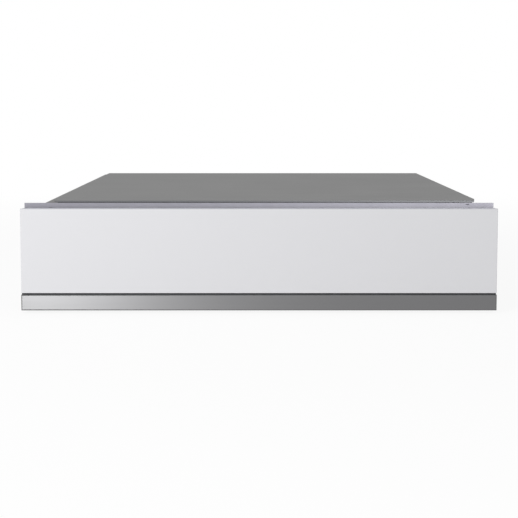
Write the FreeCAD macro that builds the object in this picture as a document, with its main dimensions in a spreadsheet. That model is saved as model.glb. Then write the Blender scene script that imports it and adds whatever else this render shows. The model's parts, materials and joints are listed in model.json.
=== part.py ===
# Built-in storage drawer for a 14 cm high niche: sheet casing, ball-bearing rails, touch latch
# and a handle-less glass front. X is the width, Y the depth (the front faces -Y) and Z the height.
# The origin is the middle of the footprint, on the shelf that the casing stands on.
import FreeCAD, Part
import operator
import os

import Sketcher

# Driving sizes in millimetres: name, value, what it sets
SIZES = [
    # Casing
    ("casing_width", 539, "outer width over the side walls"),
    ("casing_depth", 525, "from behind the mounting flange to the outside of the back panel"),
    ("casing_height", 137.6, "shelf to the top of the side walls"),
    ("casing_sheet", 1, "steel sheet of the casing"),
    ("casing_bend", 0.8, "outside radius of the casing's bends"),
    ("top_flange_width", 15.5, "inward flange on top of each side wall"),
    ("rear_flange_width", 12.5, "inward flange at the rear of each side wall"),
    ("wall_ear_width", 9.5, "outward ear at the front of each side wall"),
    ("pan_flange_height", 14, "upturned edges of the base pan"),
    ("crossbar_depth", 15, "shelf of the front crossbar"),
    ("bead_width", 12, "pressed stiffening beads"),
    ("bead_height", 1.2, "pressed stiffening beads above the sheet"),
    ("bead_margin", 45, "casing walls to the ends of the beads"),
    ("pan_bead_margin", 130, "ends of the casing to the beads of the base pan"),
    ("back_bead_margin", 48, "top and bottom of the back to its beads"),
    # Lid
    ("lid_height", 2.4, "hemmed border of the lid"),
    ("lid_set_in", 0.1, "lid narrower than the casing, each side"),
    ("lid_shift", 7, "lid centre to the right of the casing centre"),
    ("lid_border", 15, "width of the hemmed border"),
    ("lid_sheet", 1, "sheet of the lid"),
    ("lid_bend", 0.35, "outside radius along the border of the lid"),
    ("lid_corner_width", 5, "width of the taper at each front corner"),
    ("lid_corner_length", 21.5, "length of the taper at each front corner"),
    ("lid_skirt_height", 12, "down-turned rear edge"),
    # Mounting flange
    ("flange_set_in", 1.5, "flange inside the edge of the glass, each side"),
    ("flange_sheet", 1, "thickness of the mounting flange"),
    ("flange_drop", 0.4, "top of the flange below the top of the walls"),
    ("flange_bottom", 6, "shelf to the lower edge of the flange"),
    ("flange_top_bar", 11.7, "height of the upper bar"),
    ("flange_inset", 1, "side bar edge outside the clear width of the casing"),
    ("niche_hole_margin", 8, "fixing holes from the side edges of the flange"),
    ("niche_hole_pitch", 70, "between the fixing holes, upwards"),
    ("niche_hole_radius", 2.25, "fixing holes for the niche screws"),
    ("slot_margin", 33, "small slots from the side edges of the flange"),
    ("slot_width", 4, "small slot, across"),
    ("slot_height", 1.4, "small slot, upwards"),
    ("left_slot_drop", 6.2, "left slot below the top of the flange"),
    ("right_slot_drop", 2.2, "right slot below the top of the flange"),
    # Drawer front
    ("front_bottom", 3.5, "shelf to the lower edge of the trim"),
    ("front_drop", 6, "top of the glass below the top of the walls"),
    ("front_overhang", 28, "edge of the glass past the casing, each side"),
    ("glass_thickness", 4, "glass"),
    ("glass_edge", 0.5, "ground edge of the glass"),
    ("tape_thickness", 1, "bonding strips between glass and carrier"),
    ("tape_width", 12, "bonding strips"),
    ("carrier_inset", 0.7, "carrier inside the edge of the glass, each side"),
    ("carrier_depth", 12, "glass tape to the rear of the inner front"),
    ("carrier_sheet", 1, "sheet of the carrier and the inner front"),
    ("carrier_drop", 0.4, "top of the carrier below the top of the glass"),
    ("push_gap", 3, "rear of the front to the mounting flange"),
    ("trim_overhang", 0.5, "metal strip past the edge of the glass, each side"),
    ("trim_height", 20, "metal strip"),
    ("trim_wall", 1.8, "walls of the metal strip"),
    ("trim_chamfer", 1.2, "broken edges of the metal strip"),
    ("groove_height", 1.9, "dark joint between strip and glass"),
    ("groove_recess", 2.5, "dark joint behind the glass face"),
    ("clip_margin", 57, "edge of the glass to the first trim clip"),
    ("clip_width", 16, "trim clips"),
    # Drawer box
    ("drawer_bottom", 20, "shelf to the underside of the drawer base"),
    ("drawer_rim_gap", 13.5, "upper bar of the flange to the rim of the sides"),
    ("drawer_back_drop", 8, "top of the back below the rim"),
    ("drawer_sheet", 1, "sheet of the drawer box"),
    ("drawer_bend", 0.9, "outside radius of the drawer box's bends"),
    ("drawer_rim", 5, "outward rim of the sides"),
    ("drawer_foot", 15, "inward foot flange of the sides"),
    ("drawer_tab", 12, "tabs that join the sides to the front and back"),
    ("mat_thickness", 1.5, "anti-slip mat"),
    ("mat_margin", 4, "mat edge to the drawer walls"),
    # Ball-bearing rails
    ("rail_setback", 7.5, "front of the casing to the rail"),
    ("rail_level", 60, "shelf to the middle of the rail"),
    ("rail_space", 12.7, "casing wall to drawer side"),
    ("rail_tail", 8, "cabinet member behind the drawer"),
    ("buffer_length", 4, "rubber buffer in the rear end of the cabinet member"),
    ("buffer_play", 0.3, "buffer to the lips of the cabinet member"),
    ("rail_sheet", 1.2, "rail members"),
    ("ball_radius", 2, "balls"),
    ("ball_bite", 0.2, "depth of a ball in its race"),
    ("race_clearance", 0.05, "play between ball and race"),
    ("outer_ball_level", 19.5, "outer balls from the middle of the rail"),
    ("outer_ball_offset", 6.5, "outer balls from the casing wall"),
    ("inner_ball_offset", 8.4, "inner balls from the casing wall"),
    ("middle_web_offset", 3, "middle member from the casing wall"),
    ("rail_lip", 1.3, "member edge beyond its ball"),
    ("cage_sheet", 0.7, "ball cages"),
    ("cage_play", 0.1, "play between ball and cage"),
    ("outer_cage_offset", 1.7, "outer cage from the casing wall"),
    ("inner_cage_offset", 4.9, "inner cage from the casing wall"),
    ("outer_cage_length", 200, "outer cage"),
    ("inner_cage_length", 180, "inner cage"),
    ("outer_cage_start", 125, "front of the rail to the outer cage"),
    ("inner_cage_start", 120, "front of the rail to the inner cage"),
    ("ball_margin", 16, "cage end to the first ball"),
    # Touch latch
    ("latch_level", 36, "shelf to the axis of the plunger"),
    ("latch_gap", 0.2, "strike plate to the plunger at rest"),
    ("latch_stand_off", 7, "drawer back to the latch housing"),
    ("latch_length", 56, "housing"),
    ("latch_end_gap", 1, "end cap to the back panel"),
    ("latch_wall", 4, "housing walls"),
    ("latch_nose", 3, "front wall of the housing"),
    ("latch_foot_width", 60, "housing foot"),
    ("latch_foot_height", 3, "housing foot"),
    ("gusset_thickness", 3, "gussets between the housing and its foot"),
    ("latch_screw_margin", 7, "housing screws from the edge of the foot"),
    ("plunger_radius", 6, "plunger rod"),
    ("collar_radius", 8, "plunger guide collar"),
    ("collar_length", 12, "plunger guide collar"),
    ("plunger_play", 0.1, "play between plunger and housing"),
    ("plunger_room", 6, "plunger to the end cap at rest"),
    ("magnet_radius", 4.6, "magnet"),
    ("magnet_length", 4, "magnet"),
    ("spring_radius", 3.2, "latch spring, outside"),
    ("spring_wire", 0.8, "latch spring wire"),
    ("cap_thickness", 2.5, "latch end cap"),
    ("strike_width", 34, "strike plate"),
    ("strike_height", 24, "strike plate"),
    ("strike_thickness", 1.5, "strike plate"),
    ("strike_screw_margin", 4.5, "strike screws from the edge of the plate"),
    # Fasteners
    ("hole_play", 0.1, "play round a shank"),
    ("rivet_radius", 1.6, "rivet shank"),
    ("rivet_head_radius", 3, "rivet head"),
    ("rivet_head_height", 0.9, "rivet head"),
    ("screw_radius", 1.5, "screw shank"),
    ("screw_head_radius", 3.5, "screw head"),
    ("screw_head_height", 1.6, "screw head"),
    ("screw_length", 6, "screw shank"),
    ("bar_rivet_margin", 88, "casing wall to the rivets of the upper and lower bar"),
    ("ear_rivet_margin", 26, "ends of the ears to their rivets"),
    ("base_screw_margin", 80, "ends of the casing to the screws of the base pan"),
    ("back_screw_margin", 38, "top and bottom of the back to its screws"),
    ("lid_screw_margin", 88, "casing wall to the screws of the lid skirt"),
    ("rail_screw_margin", 45, "ends of the rail to its screws"),
    ("rail_rivet_margin", 92, "ends of the rail to its rivets"),
    ("front_screw_margin", 20, "ends of the drawer tabs to their screws"),
]

# How often a like piece repeats
BALLS_PER_ROW = 3
TRIM_CLIPS = 5

# Points closer than this are one point
SAME_PLACE = 1e-6

doc = FreeCAD.newDocument("StorageDrawer")
sheet = doc.addObject("Spreadsheet::Sheet", "Size")


def as_length(number):
    """Plain numbers join in expressions as they are."""
    if isinstance(number, Length):
        return number
    return Length(float(number), f"({number})")


class Length:
    """A length as a value in millimetres and as the sheet expression that gives it."""

    def __init__(self, value, text):
        self.value = value
        self.text = text

    def joined(self, other, sign, work):
        first, second = self, as_length(other)
        return Length(work(first.value, second.value), f"({first.text} {sign} {second.text})")

    def __add__(self, other):
        return self.joined(other, "+", operator.add)

    def __sub__(self, other):
        return self.joined(other, "-", operator.sub)

    def __mul__(self, other):
        return self.joined(other, "*", operator.mul)

    def __truediv__(self, other):
        return self.joined(other, "/", operator.truediv)

    def __neg__(self):
        return self * -1

    def __radd__(self, other):
        return as_length(other) + self

    def __rsub__(self, other):
        return as_length(other) - self

    def __rmul__(self, other):
        return as_length(other) * self


class Dimensions:
    """The sheet's sizes by name."""

    def __init__(self, rows):
        for row, (name, value, note) in enumerate(rows, start=1):
            sheet.set(f"A{row}", name)
            sheet.set(f"B{row}", str(value))
            sheet.set(f"C{row}", note)
            sheet.setAlias(f"B{row}", name)
            setattr(self, name, Length(float(value), f"Size.{name}"))


d = Dimensions(SIZES)
doc.recompute()

# Stations along the depth, from the glass face back
front_depth = d.glass_thickness + d.tape_thickness + d.carrier_depth
overall_depth = (front_depth + d.push_gap + d.flange_sheet + d.casing_depth
                 + d.casing_sheet + d.screw_head_height)
front_face = -overall_depth / 2
tape_front = front_face + d.glass_thickness
carrier_front = tape_front + d.tape_thickness
front_rear = carrier_front + d.carrier_depth
flange_front = front_rear + d.push_gap
casing_front = flange_front + d.flange_sheet
casing_rear = casing_front + d.casing_depth
rail_front = casing_front + d.rail_setback
latch_rear = casing_rear - d.casing_sheet - d.latch_end_gap - d.cap_thickness
latch_front = latch_rear - d.latch_length
drawer_rear = latch_front - d.latch_stand_off
rail_length = drawer_rear - rail_front

# Stations across and upwards
outer_half = d.casing_width / 2
inner_half = outer_half - d.casing_sheet
drawer_half = inner_half - d.rail_space
drawer_clear = drawer_half - d.drawer_sheet
glass_half = outer_half + d.front_overhang
carrier_half = glass_half - d.carrier_inset
flange_half = glass_half - d.flange_set_in
flange_top = d.casing_height - d.flange_drop
upper_bar_bottom = flange_top - d.flange_top_bar
lid_top = d.casing_height + d.lid_height
trim_top = d.front_bottom + d.trim_height
glass_bottom = trim_top + d.groove_height
front_top = d.casing_height - d.front_drop
carrier_bottom = d.front_bottom + d.trim_wall
carrier_top = front_top - d.carrier_drop
drawer_floor = d.drawer_bottom + d.drawer_sheet
drawer_rim_level = upper_bar_bottom - d.drawer_rim_gap
hands = (("left", -1), ("right", 1))


def spread(first, last, count):
    """Evenly spaced places from the first to the last."""
    return [first + (last - first) * n / (count - 1) for n in range(count)]


def mirrored(reach, count=2):
    """Evenly spaced places across the object, out to the same reach on both hands."""
    return spread(-reach, reach, count)


# Shared rows of fasteners
bar_rivet_columns = mirrored(inner_half - d.bar_rivet_margin)
ear_rivet_columns = mirrored(outer_half + d.wall_ear_width / 2)
ear_rivet_levels = spread(d.flange_bottom + d.ear_rivet_margin, front_top - d.ear_rivet_margin, 2)
pan_rivet_level = (d.flange_bottom + d.pan_flange_height) / 2
crossbar_level = upper_bar_bottom + (d.casing_height - d.casing_sheet - upper_bar_bottom) / 3
base_screw_stations = spread(casing_front + d.base_screw_margin, casing_rear - d.base_screw_margin,
                             2)
base_screw_level = d.pan_flange_height / 2
back_screw_levels = spread(d.back_screw_margin, d.casing_height - d.back_screw_margin, 2)
back_screw_columns = mirrored(inner_half - d.rear_flange_width / 2)
lid_screw_columns = mirrored(inner_half - d.lid_screw_margin)
lid_screw_level = d.casing_height - d.lid_skirt_height / 2
rail_screw_stations = spread(rail_front + d.rail_screw_margin, drawer_rear - d.rail_screw_margin, 2)
rail_rivet_stations = spread(rail_front + d.rail_rivet_margin, drawer_rear - d.rail_rivet_margin, 2)
front_screw_levels = spread(drawer_floor + d.front_screw_margin,
                            drawer_rim_level - d.front_screw_margin, 2)
front_screw_columns = mirrored(drawer_clear - d.drawer_tab / 2)
latch_screw_columns = mirrored(d.latch_foot_width / 2 - d.latch_screw_margin)
latch_screw_station = latch_front + d.latch_length / 2
strike_screw_columns = mirrored(d.strike_width / 2 - d.strike_screw_margin)

# Pressed beads
bead_run = (d.bead_margin - inner_half, inner_half - d.bead_margin)
pan_bead_stations = spread(casing_front + d.pan_bead_margin, casing_rear - d.pan_bead_margin, 3)
back_bead_levels = spread(d.back_bead_margin, d.casing_height - d.back_bead_margin, 2)


def grid(columns, levels):
    """Every pairing of a column with a level."""
    return [(column, level) for column in columns for level in levels]


bar_rivets = grid(bar_rivet_columns, (pan_rivet_level, crossbar_level))
ear_rivets = grid(ear_rivet_columns, ear_rivet_levels)
pan_screws = grid(lid_screw_columns, [base_screw_level])
back_screws = grid(back_screw_columns, back_screw_levels) + pan_screws
lid_screws = grid(lid_screw_columns, [lid_screw_level])
front_screws = grid(front_screw_columns, front_screw_levels)
latch_screws = grid(latch_screw_columns, [latch_screw_station])
strike_screws = grid(strike_screw_columns, [d.latch_level])


def new_body(label):
    """Empty body whose label is the name of the piece."""
    body = doc.addObject("PartDesign::Body", label)
    body.Label = label
    return body


def new_sketch(body, name, axis, level):
    """Sketch square to an axis at a level along it; its own axes are the two others in order."""
    role = {"x": "YZ_Plane", "y": "XZ_Plane", "z": "XY_Plane"}[axis]
    sketch = body.newObject("Sketcher::SketchObject", f"{body.Label}_{name}_sketch")
    sketch.AttachmentSupport = ([f for f in body.Origin.OriginFeatures if f.Role == role][0], "")
    sketch.MapMode = "FlatFace"
    level = as_length(level)
    offset = -level if axis == "y" else level
    sketch.setExpression("AttachmentOffset.Base.z", offset.text)
    return sketch


def pin_point(sketch, edge, spot, place):
    """Ties a point of the sketch to its place, measured from the sketch's origin."""
    for kind, length in zip(("DistanceX", "DistanceY"), place):
        length = as_length(length)
        index = sketch.addConstraint(Sketcher.Constraint(kind, -1, 1, edge, spot, length.value))
        sketch.setExpression(f"Constraints[{index}]", length.text)


def add_outline(sketch, corners):
    """Closed outline of straight edges, every corner tied to the sheet."""
    points = [FreeCAD.Vector(as_length(a).value, as_length(b).value, 0) for a, b in corners]
    first = sketch.GeometryCount
    for start, end in zip(points, points[1:] + points[:1]):
        sketch.addGeometry(Part.LineSegment(start, end), False)
    for number, corner in enumerate(corners):
        following = first + (number + 1) % len(corners)
        sketch.addConstraint(Sketcher.Constraint("Coincident", first + number, 2, following, 1))
        pin_point(sketch, first + number, 1, corner)


def add_circle(sketch, centre, radius):
    """Circle with its centre and radius tied to the sheet."""
    radius = as_length(radius)
    middle = FreeCAD.Vector(as_length(centre[0]).value, as_length(centre[1]).value, 0)
    edge = sketch.addGeometry(Part.Circle(middle, FreeCAD.Vector(0, 0, 1), radius.value), False)
    pin_point(sketch, edge, 3, centre)
    index = sketch.addConstraint(Sketcher.Constraint("Radius", edge, radius.value))
    sketch.setExpression(f"Constraints[{index}]", radius.text)


def extrude(body, name, axis, span, sketch, cut):
    """Pad or pocket of a sketch over a span of its axis, always towards the higher end."""
    kind = "PartDesign::Pocket" if cut else "PartDesign::Pad"
    feature = body.newObject(kind, f"{body.Label}_{name}")
    feature.Profile = sketch
    feature.Reversed = (axis != "y") if cut else (axis == "y")
    feature.setExpression("Length", (as_length(span[1]) - span[0]).text)
    return feature


def prism(body, name, axis, span, corners, cut=False):
    """Straight-sided outline extruded over a span of an axis."""
    sketch = new_sketch(body, name, axis, span[0])
    add_outline(sketch, corners)
    return extrude(body, name, axis, span, sketch, cut)


def rods(body, name, axis, span, centres, radius, cut=False):
    """Round rods, or holes, side by side over a span of an axis."""
    sketch = new_sketch(body, name, axis, span[0])
    for centre in centres:
        add_circle(sketch, centre, radius)
    return extrude(body, name, axis, span, sketch, cut)


def block(body, name, x, y, z, cut=False):
    """Rectangular block between pairs of coordinates."""
    corners = [(x[0], y[0]), (x[1], y[0]), (x[1], y[1]), (x[0], y[1])]
    return prism(body, name, "z", z, corners, cut)


def handed(sign, inner, outer):
    """Span across the object from an inner to an outer distance on one hand."""
    if sign > 0:
        return (as_length(inner), as_length(outer))
    return (-as_length(outer), -as_length(inner))


def lies_in_front(edge):
    """Whether an edge lies in the plane of the glass face."""
    return all(abs(v.Point.y - front_face.value) < SAME_PLACE for v in edge.Vertexes)


def edges_at(*places):
    """Test for straight edges that lie at one of the places, each given by its coordinates."""
    def lies_there(edge):
        return any(
            all(abs(getattr(v.Point, letter) - as_length(length).value) < SAME_PLACE
                for v in edge.Vertexes for letter, length in place.items())
            for place in places
        )
    return lies_there


def picked_edges(body, wanted):
    """The body's last feature with the names of the edges that the test picks."""
    doc.recompute()
    base = body.Tip
    names = [f"Edge{n}" for n, edge in enumerate(base.Shape.Edges, start=1) if wanted(edge)]
    if not names:
        raise RuntimeError(f"{body.Label} has no such edge")
    return base, names


def broken_edges(body, name, size, wanted):
    """Chamfer on the edges of the body that the test picks."""
    picked = picked_edges(body, wanted)
    chamfer = body.newObject("PartDesign::Chamfer", f"{body.Label}_{name}")
    chamfer.Base = picked
    chamfer.setExpression("Size", size.text)
    return chamfer


def bends(body, name, radius, *places):
    """Rounds the straight edges at the given places, as the bends of a folded sheet."""
    picked = picked_edges(body, edges_at(*places))
    fillet = body.newObject("PartDesign::Fillet", f"{body.Label}_{name}")
    fillet.Base = picked
    fillet.setExpression("Radius", radius.text)
    return fillet


def bead(body, name, run, point_at):
    """Pressed bead along X: a ridge on one face of the sheet and its hollow on the other.

    The section is drawn square to X; point_at turns a distance across the bead and a height above
    the sheet's far face into a point of that section.
    """
    half, top = d.bead_width / 2, d.casing_sheet + d.bead_height
    slope = d.bead_height
    ridge = [(-half, 0), (half, 0), (half - slope, top), (slope - half, top)]
    prism(body, f"{name}_ridge", "x", run, [point_at(u, v) for u, v in ridge])
    inner, floor = half - d.casing_sheet, d.bead_height
    hollow = [(-inner, 0), (inner, 0), (inner - slope, floor), (slope - inner, floor)]
    hollow_run = (run[0] + d.casing_sheet, run[1] - d.casing_sheet)
    prism(body, f"{name}_hollow", "x", hollow_run, [point_at(u, v) for u, v in hollow], cut=True)


def cylinder(name, axis, start, length, radius):
    """Cylinder from its lower end along an axis."""
    turn = {
        "x": FreeCAD.Rotation(FreeCAD.Vector(0, 1, 0), 90),
        "y": FreeCAD.Rotation(FreeCAD.Vector(1, 0, 0), -90),
        "z": FreeCAD.Rotation(),
    }[axis]
    rod = doc.addObject("Part::Cylinder", name)
    rod.Placement = FreeCAD.Placement(FreeCAD.Vector(), turn)
    rod.setExpression("Radius", as_length(radius).text)
    rod.setExpression("Height", as_length(length).text)
    for letter, place in zip("xyz", start):
        rod.setExpression(f"Placement.Base.{letter}", as_length(place).text)
    return rod


def fastener(name, axis, seat, sign, shank_length, shank_radius, head_radius, head_height):
    """Head on its seat and a shank that goes on from there along the axis, towards sign."""
    place = "xyz".index(axis)
    head_start, shank_start = list(seat), list(seat)
    if sign > 0:
        head_start[place] = as_length(seat[place]) - head_height
    else:
        shank_start[place] = as_length(seat[place]) - shank_length
    head = cylinder(f"{name}_head", axis, head_start, head_height, head_radius)
    shank = cylinder(f"{name}_shank", axis, shank_start, shank_length, shank_radius)
    whole = doc.addObject("Part::Fuse", name)
    whole.Base = head
    whole.Tool = shank
    return whole


def screw(name, axis, seat, sign, length):
    """Pan-head screw."""
    return fastener(name, axis, seat, sign, length, d.screw_radius, d.screw_head_radius,
                    d.screw_head_height)


def rivet(name, axis, seat, sign, length):
    """Rivet with a low round head."""
    return fastener(name, axis, seat, sign, length, d.rivet_radius, d.rivet_head_radius,
                    d.rivet_head_height)


def group(label, pieces):
    """Several like pieces kept as one sub-part."""
    compound = doc.addObject("Part::Compound", label)
    compound.Label = label
    compound.Links = pieces
    return compound


screw_hole = d.screw_radius + d.hole_play
rivet_hole = d.rivet_radius + d.hole_play


def make_base_pan():
    """Floor of the casing with upturned edges on all four sides."""
    body = new_body("base_pan")
    rear = casing_rear - d.casing_sheet
    block(body, "floor", (-inner_half, inner_half), (casing_front, rear), (0, d.casing_sheet))
    front_edge = (casing_front, casing_front + d.casing_sheet)
    rear_edge = (rear - d.casing_sheet, rear)
    rear_reach = inner_half - d.rear_flange_width - d.casing_sheet
    block(body, "front_edge", (-inner_half, inner_half), front_edge, (0, d.pan_flange_height))
    block(body, "rear_edge", (-rear_reach, rear_reach), rear_edge, (0, d.pan_flange_height))
    side_run = (casing_front, rear - 4 * d.casing_sheet)
    for hand, sign in hands:
        span = handed(sign, inner_half - d.casing_sheet, inner_half)
        block(body, f"{hand}_edge", span, side_run, (0, d.pan_flange_height))
    side_holes = grid(base_screw_stations, [base_screw_level])
    rods(body, "side_holes", "x", (-outer_half, outer_half), side_holes, screw_hole, cut=True)
    front_holes = grid(bar_rivet_columns, [pan_rivet_level])
    rods(body, "front_holes", "y", front_edge, front_holes, rivet_hole, cut=True)
    rods(body, "rear_holes", "y", rear_edge, pan_screws, screw_hole, cut=True)
    rods(body, "latch_holes", "z", (0, d.casing_sheet), latch_screws, screw_hole, cut=True)
    for n, station in enumerate(pan_bead_stations):
        bead(body, f"bead_{n}", bead_run, lambda across, up: (station + across, up))
    bends(body, "bends", d.casing_bend, {"y": casing_front, "z": 0}, {"y": rear, "z": 0},
          {"x": -inner_half, "z": 0}, {"x": inner_half, "z": 0})
    return body


def make_wall(hand, sign):
    """Side wall: panel, inward flanges on top and at the rear, outward ear at the front."""
    body = new_body(f"{hand}_wall")
    rear = casing_rear - d.casing_sheet
    panel = handed(sign, inner_half, outer_half)
    block(body, "panel", panel, (casing_front, rear), (0, d.casing_height))
    top_span = handed(sign, outer_half - d.top_flange_width, outer_half)
    top_run = (casing_front + d.casing_sheet, rear)
    block(body, "top", top_span, top_run, (d.casing_height - d.casing_sheet, d.casing_height))
    rear_span = handed(sign, inner_half - d.rear_flange_width, outer_half)
    rear_run = (rear - d.casing_sheet, rear)
    block(body, "rear", rear_span, rear_run, (d.casing_sheet, d.casing_height))
    ear_span = handed(sign, inner_half, outer_half + d.wall_ear_width)
    ear_run = (casing_front, casing_front + d.casing_sheet)
    block(body, "ear", ear_span, ear_run, (d.flange_bottom, front_top))
    ear_holes = [(x, z) for x, z in ear_rivets if x.value * sign > 0]
    rods(body, "ear_holes", "y", ear_run, ear_holes, rivet_hole, cut=True)
    rear_holes = grid([x for x in back_screw_columns if x.value * sign > 0], back_screw_levels)
    rods(body, "rear_holes", "y", rear_run, rear_holes, screw_hole, cut=True)
    base_holes = grid(base_screw_stations, [base_screw_level])
    rods(body, "base_holes", "x", panel, base_holes, screw_hole, cut=True)
    rail_holes = grid(rail_screw_stations, [d.rail_level])
    rods(body, "rail_holes", "x", panel, rail_holes, screw_hole, cut=True)
    bends(body, "bends", d.casing_bend, {"x": sign * outer_half, "z": d.casing_height},
          {"x": sign * outer_half, "y": rear})
    return body


def make_back_panel():
    """Back with two pressed beads, screwed on from behind."""
    body = new_body("back_panel")
    run = (casing_rear - d.casing_sheet, casing_rear)
    block(body, "panel", (-outer_half, outer_half), run, (0, d.casing_height))
    rods(body, "holes", "y", run, back_screws + lid_screws, screw_hole, cut=True)
    for n, level in enumerate(back_bead_levels):
        bead(body, f"bead_{n}", bead_run, lambda across, up: (run[0] + up, level + across))
    return body


def make_lid():
    """Lid with a hemmed border, tapered front corners and a rear skirt behind the back panel."""
    body = new_body("lid")
    left = d.lid_shift - outer_half + d.lid_set_in
    right = d.lid_shift + outer_half - d.lid_set_in
    front = casing_front + d.casing_sheet
    rear = casing_rear + d.casing_sheet
    corner = front + d.lid_corner_length
    plan = [
        (left + d.lid_corner_width, front), (right - d.lid_corner_width, front),
        (right, corner), (right, rear), (left, rear), (left, corner),
    ]
    prism(body, "border", "z", (d.casing_height, lid_top), plan)
    inside_x = (left + d.lid_border, right - d.lid_border)
    inside_y = (front + d.lid_border, rear - d.lid_border)
    block(body, "hollow", inside_x, inside_y, (d.casing_height, lid_top - d.lid_sheet), cut=True)
    skirt_bottom = d.casing_height - d.lid_skirt_height
    skirt_run = (casing_rear, rear)
    block(body, "skirt", inside_x, skirt_run, (skirt_bottom, d.casing_height))
    rods(body, "holes", "y", skirt_run, lid_screws, screw_hole, cut=True)
    bends(body, "bends", d.lid_bend, {"z": lid_top})
    return body


def make_front_crossbar():
    """Angle between the side walls that carries the upper bar of the mounting flange."""
    body = new_body("front_crossbar")
    top = d.casing_height - d.casing_sheet
    face_run = (casing_front, casing_front + d.casing_sheet)
    block(body, "face", (-inner_half, inner_half), face_run, (upper_bar_bottom, top))
    shelf_run = (casing_front, casing_front + d.crossbar_depth)
    block(body, "shelf", (-inner_half, inner_half), shelf_run, (top - d.casing_sheet, top))
    holes = grid(bar_rivet_columns, [crossbar_level])
    rods(body, "holes", "y", face_run, holes, rivet_hole, cut=True)
    bends(body, "bend", d.casing_bend, {"y": casing_front, "z": top})
    return body


def make_mounting_flange():
    """Flat frame in front of the niche with an opening for the drawer."""
    body = new_body("mounting_flange")
    run = (flange_front, casing_front)
    block(body, "plate", (-flange_half, flange_half), run, (d.flange_bottom, flange_top))
    opening = inner_half - d.flange_inset
    opening_z = (d.pan_flange_height, upper_bar_bottom)
    block(body, "opening", (-opening, opening), run, opening_z, cut=True)
    middle = (d.flange_bottom + flange_top) / 2
    niche_levels = spread(middle - d.niche_hole_pitch / 2, middle + d.niche_hole_pitch / 2, 2)
    niche_holes = grid(mirrored(flange_half - d.niche_hole_margin), niche_levels)
    rods(body, "niche_holes", "y", run, niche_holes, d.niche_hole_radius, cut=True)
    rods(body, "rivet_holes", "y", run, ear_rivets + bar_rivets, rivet_hole, cut=True)
    for (hand, sign), drop in zip(hands, (d.left_slot_drop, d.right_slot_drop)):
        column = sign * (flange_half - d.slot_margin)
        slot_x = (column - d.slot_width / 2, column + d.slot_width / 2)
        level = flange_top - drop
        slot_z = (level - d.slot_height / 2, level + d.slot_height / 2)
        block(body, f"{hand}_slot", slot_x, run, slot_z, cut=True)
    return body


def make_flange_rivets():
    """Rivets through the mounting flange into ears, pan edge and crossbar, flush in front."""
    seat = casing_front + d.casing_sheet
    length = d.flange_sheet + d.casing_sheet
    return group("flange_rivets", [
        rivet(f"flange_rivet_{n}", "y", (x, seat, z), -1, length)
        for n, (x, z) in enumerate(ear_rivets + bar_rivets)
    ])


def make_casing_screws():
    """Screws of the pan edges, the back panel and the lid skirt."""
    base = [
        screw(f"{hand}_base_screw_{n}", "x", (sign * outer_half, y, base_screw_level), -sign,
              d.screw_length)
        for hand, sign in hands for n, y in enumerate(base_screw_stations)
    ]
    back = [
        screw(f"back_screw_{n}", "y", (x, casing_rear, z), -1, d.screw_length)
        for n, (x, z) in enumerate(back_screws)
    ]
    skirt_seat = casing_rear + d.casing_sheet
    lid = [
        screw(f"lid_screw_{n}", "y", (x, skirt_seat, z), -1, d.screw_length)
        for n, (x, z) in enumerate(lid_screws)
    ]
    return [group("base_screws", base), group("back_screws", back), group("lid_screws", lid)]


# Rail stations: distances from the casing wall across, and from the rail's middle upwards
ball_grip = d.ball_radius - d.ball_bite
cabinet_inside = d.outer_ball_level + ball_grip
cabinet_outside = cabinet_inside + d.rail_sheet
middle_outside = d.outer_ball_level - ball_grip
middle_inside = middle_outside - d.rail_sheet
inner_ball_level = middle_inside - ball_grip
drawer_outside = inner_ball_level - ball_grip
drawer_inside = drawer_outside - d.rail_sheet
drawer_web_offset = d.rail_space - d.rail_sheet
race_radius = d.ball_radius + d.race_clearance
rail_run = (rail_front, drawer_rear)
cabinet_run = (rail_front, drawer_rear + d.rail_tail)


def rail_point(sign, offset, height):
    """Point of a rail's cross-section on one hand."""
    return (sign * (inner_half - offset), d.rail_level + height)


def channel(body, run, sign, back, web, edge, outside, inside):
    """C-shaped member: web between two offsets, and flanges up to an edge offset."""
    section = [
        (back, -outside), (edge, -outside), (edge, -inside), (web, -inside),
        (web, inside), (edge, inside), (edge, outside), (back, outside),
    ]
    prism(body, "section", "y", run, [rail_point(sign, u, v) for u, v in section])


def races(body, name, run, sign, offset, level):
    """Grooves that the balls run in, above and below."""
    centres = [rail_point(sign, offset, side * level) for side in (-1, 1)]
    rods(body, name, "y", run, centres, race_radius, cut=True)


def make_cabinet_rail(hand, sign):
    """Outer member, screwed to the casing wall."""
    body = new_body(f"{hand}_cabinet_rail")
    edge = d.outer_ball_offset + d.ball_radius + d.rail_lip
    channel(body, cabinet_run, sign, as_length(0), d.rail_sheet, edge, cabinet_outside,
            cabinet_inside)
    races(body, "races", cabinet_run, sign, d.outer_ball_offset, d.outer_ball_level)
    holes = grid(rail_screw_stations, [d.rail_level])
    span = handed(sign, inner_half - d.rail_sheet, inner_half)
    rods(body, "holes", "x", span, holes, screw_hole, cut=True)
    return body


def make_rail_buffer(hand, sign):
    """Rubber buffer in the rear end of the outer member, where the middle member stops."""
    body = new_body(f"{hand}_rail_buffer")
    edge = d.outer_ball_offset + d.ball_radius
    span = handed(sign, inner_half - edge, inner_half - d.rail_sheet)
    reach = cabinet_inside - d.buffer_play
    run = (cabinet_run[1] - d.buffer_length, cabinet_run[1])
    block(body, "block", span, run, (d.rail_level - reach, d.rail_level + reach))
    return body


def make_rail_screws(hand, sign):
    """Flat-head screws that hold the outer member, low enough for the cage to pass over them."""
    seat = sign * (inner_half - d.rail_sheet)
    head_height = d.outer_cage_offset - d.rail_sheet - d.cage_play * 2
    length = d.screw_length - head_height
    return group(f"{hand}_rail_screws", [
        fastener(f"{hand}_rail_screw_{n}", "x", (seat, y, d.rail_level), sign, length,
                 d.screw_radius, d.screw_head_radius, head_height)
        for n, y in enumerate(rail_screw_stations)
    ])


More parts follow.
